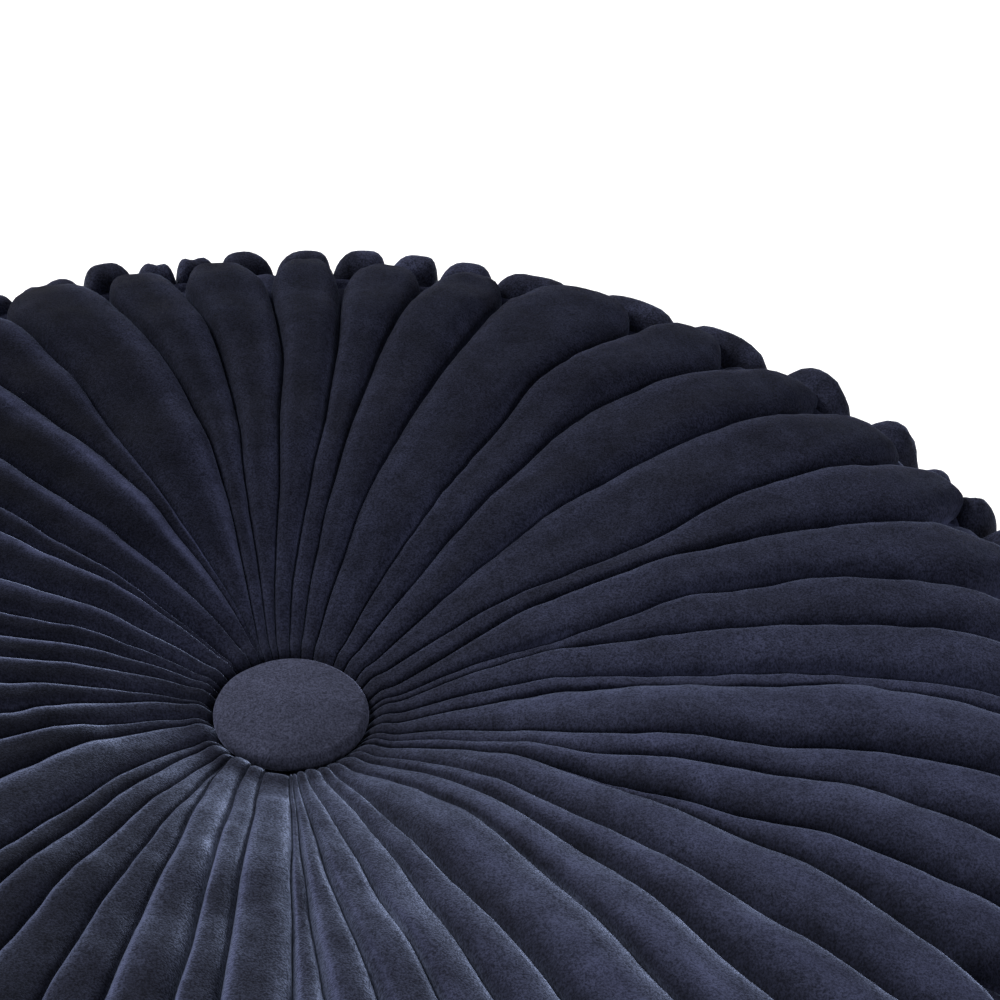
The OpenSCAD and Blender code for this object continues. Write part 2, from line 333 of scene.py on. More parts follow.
def pleat_grid(row, seed, mirrored, rng):
    """Pleats and the valleys between them, as a grid of (radius, angle, depth)."""
    bounds = crease_angles(row.radius, seed, mirrored)
    pitch = row.radius * TAU / PLEATS
    # depth of the pleated layer, never more than most
    most, blend = 10.4, 0.6
    layer = 0.84 * np.maximum(pitch, 0.5) ** 0.77
    layer = most - np.log1p(np.exp((most - layer) / blend)) * blend
    closing = quarter_round(row.left / 13)
    # each pleat's own height, lean, lopsidedness, squareness and length of tip
    tall = rng.uniform(0.86, 1.14, PLEATS)
    lean = rng.uniform(-0.05, 0.10, PLEATS)
    skew = rng.uniform(-0.12, 0.12, PLEATS) - 0.38 * clamp(aim(FACING, 245))
    square = (rng.uniform(2.8, 3.7, PLEATS)
              - 0.8 * clamp(aim(FACING, 262)) + 0.5 * clamp(aim(FACING, 95)))
    tip = rng.uniform(-1.4, 1.6, PLEATS)
    # the size of the fold in each valley, and the room it takes from the tips beside it
    under = rng.uniform(0.15, 0.75, PLEATS)
    folded = under > 0.40
    room = np.where(folded, rng.uniform(0.14, 0.21, PLEATS), rng.uniform(0.0, 0.04, PLEATS))

    grid = np.zeros((ROWS, PLEATS, COLS, 3))
    heights = np.zeros((ROWS, PLEATS))
    near_tip = smooth(row.left, 36, 7)
    for i in range(PLEATS):
        start, end = bounds[:, i], bounds[:, i + 1]
        width = (end - start) * row.radius
        own = 0.86 * np.maximum(width, 0.4) ** 0.78 * tall[i]
        # a narrow pleat sinks between its neighbours
        thin = smooth(width / np.maximum(pitch, 0.5), 0.55, 0.12)
        height = layer * (1 - 0.55 * thin) + 0.35 * (own - layer) * (1 - thin)
        if i in STARTS:
            # it begins as a rounded finger
            height = height * (0.45 + 0.55 * quarter_round((row.radius - STARTS[i]) / 7))
        height *= 1 + 0.05 * np.sin(row.run * TAU / rng.uniform(45, 90) + rng.rand() * TAU)
        heights[:, i] = height
        across, rise = loaf(square[i], rng.uniform(1.9, 2.3))
        across = across + skew[i] * (1 - across ** 2)
        # a rounded tip: the pleat narrows towards its end, more beside a small fold
        tight = 0.0125 + 0.26 * (1 - clamp(row.left / 36)) ** 1.5
        before = tight + room[i - 1] * near_tip
        after = tight + room[i] * near_tip
        across = before[:, None] + (1 - before - after)[:, None] * (0.5 + 0.5 * across[None, :])
        leaning = (lean[i] * height / row.radius)[:, None] * rise
        angle = (start[:, None] + (end - start)[:, None] * across
                 + leaning * smooth(row.run, 8, 40)[:, None])
        body = height[:, None] * (CREASE_LIFT + (1 - CREASE_LIFT) * rise)
        off = -(layer[:, None] - body) * closing[:, None]
        # fuller towards the rim
        off = off + (0.9 * smooth(row.radius, 110, 165) * closing)[:, None] * rise
        stretch = tip[i] * smooth(row.left, 16, 2) * closing
        grid[:, i, :LOBE, 0] = (row.radius[:, None] + row.out_r[:, None] * off
                                + stretch[:, None] * rise)
        grid[:, i, :LOBE, 1] = angle
        grid[:, i, :LOBE, 2] = row.depth[:, None] + row.out_depth[:, None] * off

    # the valley: a tight crease over most of the panel that opens into a small fold
    lift = CREASE_LIFT * lay_gussets(grid, heights)
    fold_rise = (smooth(row.left[:, None], 34 + 10 * under, 8)
                 * np.where(folded, 0.55 + 0.35 * under, 0.4 * under))[..., None]
    arch = np.sin(math.pi * GUSSET_AT) ** 0.8
    sink = (0.9 * (1 - smooth(row.left, 26, 12)) * smooth(row.radius, 18, 60))[:, None, None]
    layer, closing, radius, depth, out_r, out_depth = (
        values[:, None, None]
        for values in (layer, closing, row.radius, row.depth, row.out_r, row.out_depth))
    off = (lift - layer + (layer - lift) * fold_rise * arch - sink * arch) * closing
    grid[:, :, LOBE:, 0] = radius + out_r * off
    grid[:, :, LOBE:, 2] = depth + out_depth * off
    return grid


def painted_pleat_light(radius, rng):
    """Painted light and shade over rows, pleats and columns: above 0 brighter, below 0 darker.
    Light and dark bands across each pleat, set by the way the pleat faces the key light.
    """
    # across a pleat, anticlockwise
    across = np.concatenate([np.linspace(0, 1, LOBE), np.ones(GUSSET)])
    facing = FACING[:, None]
    left = clamp(0.5 + 2.0 * aim(facing, 188))
    far = (1 - left) * clamp(1.6 * aim(facing, 75) - 0.1)
    near = 0.5 + 0.5 * np.tanh(6 * aim(facing, 280) - 5.0)
    near_right = clamp(aim(facing, -60)) ** 5
    strength = rng.uniform(0.8, 1.1, PLEATS)[:, None]
    # painted light and shade: light and dark stripes across the pleats on the left, on the far
    # side and on the others, set by where each pleat faces the key light
    left_stripes = ((0.8 + 0.25 * near) * bell(across, 0.31, 0.11)
                + 0.3 * smooth(across, 0.3, 0.1)
                - (0.62 - 0.30 * near) * smooth(across, 0.36, 0.52)
                + 0.40 * smooth(across, 0.66, 0.90))
    far_stripes = (0.45 * smooth(across, 0.32, 0.06) - 0.26 * smooth(across, 0.15, 0.42)
               + 0.36 * bell(across, 0.72, 0.08))
    other_stripes = (0.46 + 0.12 * smooth(across, 0.5, 0.1) - 0.35 * smooth(across, 0.72, 0.95)
                 - near_right * (0.05 + 0.85 * smooth(across, 0.42, 0.20)
                                 - 0.2 * smooth(across, 0.4, 0.6)))
    pleat_shading = left * strength * left_stripes + far * strength * far_stripes + (1 - left - far) * other_stripes
    # painted shade on the anticlockwise half of the pleats that face the front, a little to the
    # right
    pleat_shading = pleat_shading - 0.45 * clamp(aim(facing, 290)) ** 8 * smooth(across, 0.50, 0.80)
    # painted light: inside a crease the shade is lightened, so the creases do not go black
    within = np.minimum(bell(across, 0, 0.07) + bell(across, 1, 0.07), 1)
    crease_brightening = 0.25 + 0.60 * clamp(1.5 * aim(facing, 55)) - 0.5 * near_right
    radius = radius[:, None, None]
    pleat_shading = smooth(radius, 24, 60) * (pleat_shading + crease_brightening * within)
    # painted light and shade on the far side: brighter near the button and darker further out
    pleat_shading = pleat_shading + (0.35 - 0.46 * smooth(radius, 40, 115)) * clamp(aim(facing, 105))
    return np.maximum(pleat_shading, -0.85)


def make_cover(name, face, seed, facing_down):
    row = panel_rows(face)
    rng = np.random.RandomState(seed + 1)
    grid = pleat_grid(row, seed, facing_down, rng).reshape(-1, 3)
    pleat_shading = painted_pleat_light(row.radius, rng)
    points = from_polar(grid[:, 0], grid[:, 1], HEIGHT - grid[:, 2])
    # soft irregularities
    big, fine = waves(seed + 5, 22, 60), waves(seed + 6, 5, 12, 18)
    radius = np.hypot(points[:, 0], points[:, 1])
    points[:, 2] += smooth(radius, 20, 60) * (1 - smooth(radius, 178, 190)) * 0.55 * big(points)
    amount = 0.16 * smooth(radius, 24, 60)
    angle = np.arctan2(points[:, 1], points[:, 0])
    # the field is read again for y, once x has moved
    for axis, part in enumerate((np.cos(angle), np.sin(angle))):
        points[:, axis] += amount * fine(points) * part
    points[:, 2] += 0.8 * amount * fine(points[:, [1, 2, 0]])
    if facing_down:
        # where it rests, the pleats are pressed flat
        low = HEIGHT - points[:, 2]
        softness = 1.2
        points[:, 2] = 0.5 * (low + np.sqrt(low ** 2 + softness * softness))
    ob = add_mesh(name, points, grid_faces(ROWS, PLEATS * COLS, flip=facing_down))
    # painted light and shade across the pleats, kept on the mesh for the velvet material
    attribute = ob.data.attributes.new("painted_pleat_light", "FLOAT", "POINT")
    attribute.data.foreach_set("value", np.asarray(pleat_shading.ravel(), np.float32))
    return ob


top_cover = make_cover("top_pleated_cover", TOP_FACE, TOP_SEED, False)
bottom_cover = make_cover("bottom_pleated_cover", BOTTOM_FACE, BOTTOM_SEED, True)

# ------------------------------------------------------------------ the gathered band
BAND_ROWS = 61
# Bearings of the puffs along the far side.
FAR_PUFFS = (26.2, 32.2, 40.2, 49.9, 58.9, 68.5, 74.8, 78.3, 83.8, 87.9, 93.8, 97.5, 101.4, 104.5)
# Puffs with a height of their own: bearing, height.
SET_PUFFS = [(bearing, 1.0) for bearing in FAR_PUFFS] + [
    (116.8, 0.90), (110.5, 0.90), (101.4, 0.98), (26.2, 0.80)]


def bezier(points, t):
    a, b, c, d = (np.array(point) for point in points)
    t = t[:, None]
    return (1 - t) ** 3 * a + 3 * (1 - t) ** 2 * t * b + 3 * (1 - t) * t * t * c + t ** 3 * d


def puff_centres(rng):
    """Angles of the puffs: one behind each gap between tips, and a set row on the far side."""
    rim = np.degrees(crease_angles(np.array([188.0]), TOP_SEED)[0, :PLEATS])
    spots = [a + rng.uniform(-0.6, 0.6) + (2.8 if -70 < a < 10 else 4.6 if 0 < a < 22 else 0.0)
             for a in rim if not 22 < a < 107]
    spots = sorted(spots + list(FAR_PUFFS))
    # one more in the middle of every wide gap
    extra = [(a + b) / 2 for a, b in zip(spots, spots[1:] + [spots[0] + 360])
             if b - a > 8.0 and not 22 < a < 103]
    return np.radians(np.sort(np.array(spots + extra)))


def make_band():
    rng = np.random.RandomState(BAND_SEED)
    centre = puff_centres(rng)
    puffs = len(centre)
    start = (np.roll(centre, 1) + centre) / 2
    start[0] = (centre[-1] - TAU + centre[0]) / 2
    # (radius, z) down the crest of a puff and down a valley: the upper half, then its mirror
    t = np.linspace(0, 1, (BAND_ROWS - 1) // 2 + 1) ** 1.15
    upper_halves = (
        bezier(((SEAM_R, SEAM_Z), (SEAM_R + 0.4, SEAM_Z + 10),
                (BAND_R + 5.5, SEAM_Z + 20.5), (BAND_R, MID_Z)), t),
        bezier(((SEAM_R, SEAM_Z), (SEAM_R + 0.8, SEAM_Z - 5),
                (SEAM_R + 4.2, MID_Z + 10), (SEAM_R + 4.6, MID_Z)), t))
    crest, valley = (np.concatenate([half, half[-2::-1] * [1, -1] + [0, HEIGHT]])
                     for half in upper_halves)
    out = crest - valley
    down = np.concatenate([t / 2, 1 - t[-2::-1] / 2])    # 0 at the top seam, 1 at the bottom
    edge = np.minimum(down, 1 - down)

    edges = np.zeros((BAND_ROWS, puffs + 1))
    for i in range(puffs):
        # the far side is packed too close to lean
        free = 1 - smooth(aim(start[i], 80), 0.30, 0.60)
        sway = np.radians(rng.uniform(-1.3, 1.3)) * np.sin(math.pi * down * rng.choice([1, 2]))
        slant = np.radians(rng.uniform(-0.9, 0.9)) * (down - 0.3)
        edges[:, i] = start[i] + free * (sway + slant)
    edges[:, puffs] = edges[:, 0] + TAU
    tall = rng.uniform(0.90, 1.12, puffs)
    for bearing, height in SET_PUFFS:
        tall[np.argmin(np.abs(np.degrees(centre) - bearing))] = height
    # how far the valleys are filled: the puffs of the far side lie close together
    full = 0.16 + 0.42 * smooth(aim(centre, 88), 0.60, 0.90)

    grid = np.zeros((BAND_ROWS, puffs, COLS, 3))
    base = np.zeros((BAND_ROWS, puffs))
    u = np.linspace(0, 1, LOBE)
    ends = quarter_round(edge / 0.16)
    for i in range(puffs):
        across, rise = loaf(rng.uniform(1.8, 2.2) + 3.3 * (full[i] - 0.16),
                            rng.uniform(1.45, 1.75))
        across = across + rng.uniform(-0.24, 0.24) * (1 - across ** 2)
        narrow = 0.97 - (0.10 + 0.20 * smooth(full[i], 0.25, 0.50)) * (1 - ends)
        swell = np.sin(down * TAU * rng.uniform(0.8, 1.8) + rng.rand() * TAU)
        amount = tall[i] * (1 + (0.12 - 0.15 * full[i]) * swell * smooth(edge, 0.08, 0.3))
        # short gathers next to each seam
        ripple = 0.5 - 0.5 * np.cos(TAU * rng.choice([2, 3]) * u + rng.rand() * TAU)
        gathers = 0.13 * ripple * np.exp(-edge / 0.10)[:, None]
        # here and there a long soft dent, in the upper or the lower part
        dent_depth = rng.uniform(0.10, 0.30) if rng.rand() < 0.5 else 0.0
        dent_at = rng.uniform(0.35, 0.65) + 0.2 * (down[:, None] - 0.5)
        reach = smooth(down, 0.75, 0.45) if rng.rand() < 0.5 else smooth(down, 0.25, 0.60)
        dent = dent_depth * bell(u, dent_at, 0.10) * reach[:, None]
        body = rise * (1 - gathers - dent)
        x = 0.5 + 0.5 * narrow[:, None] * across
        grid[:, i, :LOBE, 1] = edges[:, i, None] + (edges[:, i + 1] - edges[:, i])[:, None] * x
        lift = amount[:, None] * (full[i] + (1 - full[i]) * body)
        for axis in (0, 1):
            grid[:, i, :LOBE, 2 * axis] = valley[:, axis, None] + out[:, axis, None] * lift
        base[:, i] = full[i] * amount

    lift = lay_gussets(grid, base)
    for axis in (0, 1):
        grid[:, :, LOBE:, 2 * axis] = (valley[:, axis, None, None]
                                       + out[:, axis, None, None] * lift)
    inset = rng.uniform(0.3, 1.6, puffs)[:, None] * np.sin(math.pi * GUSSET_AT)
    middle = smooth(1 - np.abs(2 * down - 1), 0.05, 0.3)
    grid[:, :, LOBE:, 0] -= inset * middle[:, None, None]

    grid = grid.reshape(-1, 3)
    points = from_polar(grid[:, 0], grid[:, 1], grid[:, 2])
    big, fine = waves(BAND_SEED + 5, 18, 45), waves(BAND_SEED + 6, 5, 12, 18)
    angle = np.arctan2(points[:, 1], points[:, 0])
    half = SEAM_Z - MID_Z
    inner = smooth(np.abs(points[:, 2] - MID_Z), half + 4, half - 12)
    push_out(points, angle, inner * (0.5 * big(points)) + 0.18 * fine(points))
    points[:, 2] += inner * 0.4 * fine(points[:, [2, 0, 1]])
    return add_mesh("side_gathered_band", points,
                    grid_faces(BAND_ROWS, puffs * COLS, flip=True))


band = make_band()


# ------------------------------------------------------------------ covered buttons
def make_button(name, part, facing_up, seed):
    low, high = box_mm(part)
    button_r, thick = (high[0] - low[0]) / 2, high[2] - low[2]
    edge_r = 2.6
    cols = 160
    # (radius, z): from the gathered hole in the back, round the edge and over the dome
    section = [(6.0 + 10.6 * k / 9, 0.05) for k in range(10)]
    section += [(button_r - 1.5 + 1.5 * math.sin(a), 1.9 - 1.85 * math.cos(a))
                for a in np.linspace(0.15, math.pi / 2, 8)]
    section += [(button_r - edge_r + edge_r * math.cos(a), 2.4 + edge_r * math.sin(a))
                for a in np.linspace(0, math.radians(76), 12)]
    dome_r, dome_z = section[-1]
    section += [(dome_r * (1 - k), dome_z + (thick - dome_z) * (1 - (1 - k) ** 2.0))
                for k in np.linspace(0, 1, 26)[1:-1]]
    section = np.array(section)
    rows = len(section)
    points = turn_profile(section[:, 0], section[:, 1], cols)[-1]
    # small gathers where the velvet is drawn under the button
    angle = around(cols)
    back = smooth(np.arange(rows), 17, 4)[:, None]
    gathers = 0.5 + 0.5 * np.sin(angle * 22 + 1.3 * np.sin(angle * 3))
    points[:, 2] += (back * 0.35 * gathers).ravel()
    uneven = waves(seed, 9, 24)
    points[:, 2] += smooth(points[:, 2], 1.5, 5) * 0.14 * uneven(points)
    points = np.concatenate([points, [[0, 0, thick + 0.05]]])
    quads = grid_faces(rows, cols)
    last = (rows - 1) * cols
    j = np.arange(cols)
    fan = np.stack([last + j, last + (j + 1) % cols, np.full(cols, len(points) - 1)], -1)
    if not facing_up:
        points = points * [1, 1, -1]
        quads, fan = quads[:, ::-1], fan[:, ::-1]
    points[:, 2] += low[2] if facing_up else high[2]
    ob = add_mesh(name, points, quads)
    # close the crown with a fan of triangles
    bm = bmesh.new()
    bm.from_mesh(ob.data)
    bm.verts.ensure_lookup_table()
    for corners in fan:
        face = bm.faces.new([bm.verts[corner] for corner in corners])
        face.smooth = True
    bm.to_mesh(ob.data)
    bm.free()
    return ob


top_button = make_button("top_button_skin", "top_button_cover", True, seed=3)
bottom_button = make_button("bottom_button_skin", "bottom_button_cover", False, seed=4)

# ------------------------------------------------------------------ calico bag and filling
PLEAT = 11.0                     # full thickness of the pleated layer
CHANNEL_R = 4.5                  # the twine's channel
BAG_GAP = 3.0                    # from the pleated layer to the bag
FILLING_GAP = BAG_GAP + 1.5
BAG_CLOTH = 0.8
BAG_RIM = RIM_R - PLEAT - BAG_GAP


def pleat_layer(radius):
    return PLEAT * np.maximum(0.25, np.minimum(1, np.asarray(radius, float) / 150) ** 0.7)


def inner_curve(gap, crown_r, flat_r, dimple, count=64):
    """Radius and depth of a layer under the pleats, from the twine's channel to its rim."""
    hub_r = np.array([CHANNEL_R, 12.0, 17.8, 19.5])
    hub_depth = dimple + np.array([UNDER_BUTTON] * 3 + [0.5])
    dimple_r = 20.1
    slope_r = np.linspace(dimple_r, crown_r, count)[1:]
    slope_depth = dimple * (1 - (slope_r - dimple_r) / (crown_r - dimple_r)) ** DIMPLE_POWER
    if flat_r > crown_r:
        slope_r = np.append(slope_r, np.linspace(crown_r, flat_r, 14)[1:])
        slope_depth = np.append(slope_depth, np.zeros(13))
    angle = np.radians(np.linspace(0, 90, 26)[1:])
    rim_r = flat_r + (RIM_R - PLEAT - gap - flat_r) * np.sin(angle) ** (2 / 2.6)
    under = pleat_layer(rim_r) + gap
    rim_depth = under + (DROP - under) * (1 - np.cos(angle))
    return (np.concatenate([hub_r, slope_r, rim_r]),
            np.concatenate([hub_depth + pleat_layer(hub_r) + gap,
                            slope_depth + pleat_layer(slope_r) + gap, rim_depth]))


def side_profile(end_r, bulge, half, count):
    """Radius and height of a bulging side, from bottom to top."""
    angle = np.radians(np.linspace(-90, 90, count))
    return end_r + bulge * np.cos(angle) ** 0.9, MID_Z + half * np.sin(angle)


def make_bag_panel(name, face, seed, facing_down):
    """One face of the bag, with small puckers and lumps."""
    cols = 260
    radii, depths = inner_curve(BAG_GAP, **face)
    heights = depths if facing_down else HEIGHT - depths
    radius, height, angle, points = turn_profile(radii, heights, cols)
    big, small = waves(seed, 14, 40)(points), waves(seed + 1, 5, 11)(points)
    pucker = (0.25 * np.sin(70 * angle + 2.2 * np.sin(3 * angle) + 1.1 * big)
              * smooth(radius, 90, 175))
    move = smooth(radius, 8, 40) * (0.21 * big + 0.0875 * small + pucker)
    points[:, 2] += np.where(height > MID_Z, -1, 1) * np.abs(move) * 0.8
    return add_mesh(name, points, grid_faces(len(radii), cols, flip=facing_down))


def make_bag_side():
    cols = 360
    radii, heights = side_profile(BAG_RIM + 0.4, 9, MID_Z - DROP - 2.4, 30)
    _, height, angle, points = turn_profile(radii, heights, cols)
    inner = smooth(np.abs(height - MID_Z), 27.6, 18)
    pucker = 0.4 * (0.5 + 0.5 * np.sin(90 * angle + 2 * np.sin(5 * angle)))
    lumps = 0.35 * np.abs(waves(35, 14, 45)(points))
    push_out(points, angle, -inner * lumps - pucker * (1 - inner))
    return add_mesh("inner_bag_side", points, grid_faces(len(radii), cols))


def thicken(ob, thickness):
    """Real cloth thickness, inwards."""
    solidify = ob.modifiers.new("cloth_thickness", "SOLIDIFY")
    solidify.thickness = thickness * MM
    solidify.offset = -1
    bpy.context.view_layer.objects.active = ob
    with bpy.context.temp_override(object=ob, active_object=ob, selected_objects=[ob],
                                   selected_editable_objects=[ob]):
        bpy.ops.object.modifier_apply(modifier=solidify.name)
    for polygon in ob.data.polygons:
        polygon.use_smooth = True


def make_filling():
    """One soft lump with a channel for the twine."""
    cols = 220
    bottom_r, bottom_depth = inner_curve(FILLING_GAP, **BOTTOM_FACE, count=40)
    top_r, top_depth = inner_curve(FILLING_GAP, **TOP_FACE, count=40)
    side_r, side_z = side_profile(BAG_RIM - 2.5, 8.6, MID_Z - DROP - 3.2, 18)
    channel_z = np.linspace(HEIGHT - top_depth[0], bottom_depth[0], 11)[1:-1]
    radii = np.concatenate([bottom_r, side_r, top_r[::-1], np.full(9, CHANNEL_R)])
    heights = np.concatenate([bottom_depth, side_z, (HEIGHT - top_depth)[::-1], channel_z])
    radius, height, angle, points = turn_profile(radii, heights, cols)
    big, small = waves(51, 16, 50)(points), waves(52, 5, 12, 20)(points)
    lump = np.abs(0.5 * big + 0.35 * small) * smooth(radius, 8, 30)
    from_middle = height - MID_Z
    points[:, 2] -= 0.8 * lump * smooth(np.abs(from_middle), 0, 30) * np.sign(from_middle)
    push_out(points, angle, -0.7 * lump * smooth(radius, 170, 185))
    # the channel's last row joins back to the first
    j = np.arange(cols)
    k = (j + 1) % cols
    last = (len(radii) - 1) * cols
    joint = np.stack([last + k, k, j, last + j], -1)
    quads = grid_faces(len(radii), cols, flip=True)
    return add_mesh("fibre_filling", points, np.concatenate([quads, joint]))


bag_top = make_bag_panel("inner_bag_top", TOP_FACE, 31, False)
bag_bottom = make_bag_panel("inner_bag_bottom", BOTTOM_FACE, 33, True)
bag_side = make_bag_side()
for piece in (bag_top, bag_bottom, bag_side):
    thicken(piece, BAG_CLOTH)
filling = make_filling()


# ------------------------------------------------------------------ threads and twine
def sweep(name, paths, radius, sides, lobes=0, twist=0.0, depth=0.0, closed=True):
    """Round or stranded cord along one or more lists of points."""
    verts, faces = [], []
    first = 0
    for path in paths:
        path = np.asarray(path, float)
        count = len(path)
        if closed:
            tangent = np.roll(path, -1, 0) - np.roll(path, 1, 0)
        else:
            tangent = np.gradient(path, axis=0)
        tangent /= np.linalg.norm(tangent, axis=1)[:, None]
        guide = np.array([0.0, 0, 1]) if abs(tangent[0, 2]) < 0.8 else np.array([1.0, 0, 0])
        normal = np.zeros_like(path)
        side = np.cross(tangent[0], guide)
        for k in range(count):
            side = side - tangent[k] * (side @ tangent[k])
            side /= np.linalg.norm(side)
            normal[k] = side
        binormal = np.cross(tangent, normal)
        steps = np.linalg.norm(np.diff(path, axis=0), axis=1)
        run = np.concatenate([[0], np.cumsum(steps)])
        angle = around(sides)
        for k in range(count):
            ring = radius * (1 + depth * np.cos(lobes * angle + twist * run[k]))
            if not closed and k in (0, count - 1):
                ring = ring * 0.35
            verts.append(path[k] + ring[:, None] * (np.cos(angle)[:, None] * normal[k]
                                                    + np.sin(angle)[:, None] * binormal[k]))
        faces.append(grid_faces(count, sides) + first)
        last = first + (count - 1) * sides
        if closed:
            j = np.arange(sides)
            k = (j + 1) % sides
            faces.append(np.stack([last + j, last + k, first + k, first + j], -1))
        else:
            j = np.arange(sides // 2 - 1)
            for end, step in ((first, -1), (last, 1)):
                cap = np.stack([j, j + 1, sides - 2 - j, sides - 1 - j], -1) + end
                faces.append(cap[:, ::step])
        first += count * sides
    return add_mesh(name, np.concatenate(verts), np.concatenate(faces))


def make_stitches(name, radius, z, count, length, thread_r, seed, wave):
    """A row of separate stitches round a seam; wave is its sway in and out at each pleat."""
    rng = np.random.RandomState(seed)
    t = np.linspace(-1, 1, 6)
    bow = thread_r * 0.9 * (t ** 2 - 0.3) * (1 if z < MID_Z else -1)
    half = length / 2 / radius
    paths = []
    for i in range(count):
        middle = TAU * i / count
        stitch_r = radius + wave * math.sin(PLEATS * middle) + rng.uniform(-0.08, 0.08)
        stitch_z = z + rng.uniform(-0.08, 0.08) + bow
        paths.append(from_polar(np.full(6, stitch_r), middle + half * t, stitch_z))
    return sweep(name, paths, thread_r, sides=6, closed=False)


def make_gather_thread(name, part, side):
    low, high = box_mm(part)
    angle = around(736)
    radius = (high[0] - 0.4) + 0.25 * np.sin(PLEATS / 2 * angle)
    z = (low[2] + high[2]) / 2 + 0.22 * np.sin(PLEATS * angle) * side
    return sweep(name, [from_polar(radius, angle, z)], 0.3, sides=8, lobes=2, twist=3.0,
                 depth=0.12)


RIM_STITCH = dict(radius=SEAM_R - 0.4, count=400, length=2.5, thread_r=0.32, wave=0.25)
BAG_STITCH = dict(radius=BAG_RIM - 0.2, count=300, length=3.0, thread_r=0.3, wave=0.0)
rim_stitch_z = SEAM_Z - 0.5
bag_stitch_depth = DROP + 1.1
top_stitch = make_stitches("top_rim_stitching", z=rim_stitch_z, seed=61, **RIM_STITCH)
bottom_stitch = make_stitches("bottom_rim_stitching", z=HEIGHT - rim_stitch_z, seed=62,
                              **RIM_STITCH)
bag_stitch_top = make_stitches("inner_bag_top_stitching", z=HEIGHT - bag_stitch_depth,
                               seed=63, **BAG_STITCH)
bag_stitch_bottom = make_stitches("inner_bag_bottom_stitching", z=bag_stitch_depth,
                                  seed=64, **BAG_STITCH)
top_gather = make_gather_thread("top_gather_running_thread", "top_gather_thread", 1)
bottom_gather = make_gather_thread("bottom_gather_running_thread", "bottom_gather_thread", -1)

# twine of three strands: an eye at each end, a straight length, and a knot round it
STRANDS = dict(sides=12, lobes=3, twist=2.6)
TWINE = dict(radius=0.86, depth=0.13, **STRANDS)
EYE_R, EYE_MARGIN = 2.3, 0.9
KNOT_MARGIN, KNOT_TURNS = 0.85, 3.0


def make_twine():
    low, high = (corner[2] for corner in box_mm("tufting_twine"))
    angle = around(72)
    rings = [np.stack([0 * angle, EYE_R * np.cos(angle), z + EYE_R * np.sin(angle)], -1)
             for z in (high - EYE_R - EYE_MARGIN, low + EYE_R + EYE_MARGIN)]
    eyes = sweep("tufting_twine_eyes", rings, **TWINE)
    z = np.linspace(low + 2 * EYE_R + 1.0, high - 2 * EYE_R - 1.0, 90)
    line = np.stack([0.12 * np.sin(z * 0.35), 0.12 * np.cos(z * 0.3), z], -1)
    return eyes, sweep("tufting_twine_length", [line], closed=False, **TWINE)


def make_knot():
    low, high = box_mm("twine_knot")
    t = np.linspace(0, 1, 220)
    angle = TAU * KNOT_TURNS * t
    knot_r = (high[0] - low[0]) / 2 - KNOT_MARGIN
    path = np.stack([(knot_r + 0.05 * np.sin(9 * t)) * np.cos(angle),
                     (knot_r + 0.05 * np.sin(7 * t)) * np.sin(angle),
                     low[2] + KNOT_MARGIN + (high[2] - low[2] - 2 * KNOT_MARGIN) * t], -1)
    return sweep("twine_knot_wraps", [path], radius=0.82, depth=0.12, closed=False, **STRANDS)


twine_eyes, twine_length = make_twine()
knot = make_knot()


# ------------------------------------------------------------------ materials
class Nodes:
    """Adds nodes to a tree. A socket given as a value is linked."""

    def __init__(self, owner):
        owner.use_nodes = True
        self.owner = owner
        self.tree = owner.node_tree

    def feed(self, socket, value):
        if isinstance(value, bpy.types.NodeSocket):
            self.tree.links.new(value, socket)
        else:
            socket.default_value = value

    def add(self, kind, *by_index, **by_name):
        """Capitalised names are sockets, the others are settings of the node."""
        made = self.tree.nodes.new("ShaderNode" + kind)
        for key, value in by_name.items():
            if key[0].isupper():
                self.feed(made.inputs[key], value)
            else:
                setattr(made, key, value)
        for index, value in enumerate(by_index):
            self.feed(made.inputs[index], value)
        return made

    def place(self):
        return self.add("TexCoord").outputs["Object"]

    def noise(self, place, **values):
        return self.add("TexNoise", Vector=place, **values).outputs["Fac"]

    def math(self, operation, first, second):
        return self.add("Math", first, second, operation=operation).outputs[0]

    def vector(self, operation, *sources, **values):
        return self.add("VectorMath", *sources, operation=operation, **values).outputs[0]

    def length(self, source):
        return self.add("VectorMath", source, operation="LENGTH").outputs["Value"]

    def remap(self, source, start, end, to_start=0.0, to_end=1.0):
        return self.add("MapRange", source, start, end, to_start, to_end).outputs[0]

    def mix(self, factor, dark, pale, **settings):
        return self.add("Mix", data_type="RGBA", **settings, A=(*dark, 1), B=(*pale, 1),
                        Factor=factor).outputs["Result"]

    def surface(self, values):
        bsdf = self.tree.nodes["Principled BSDF"]
        for key, value in values.items():
            self.feed(bsdf.inputs[key], value)


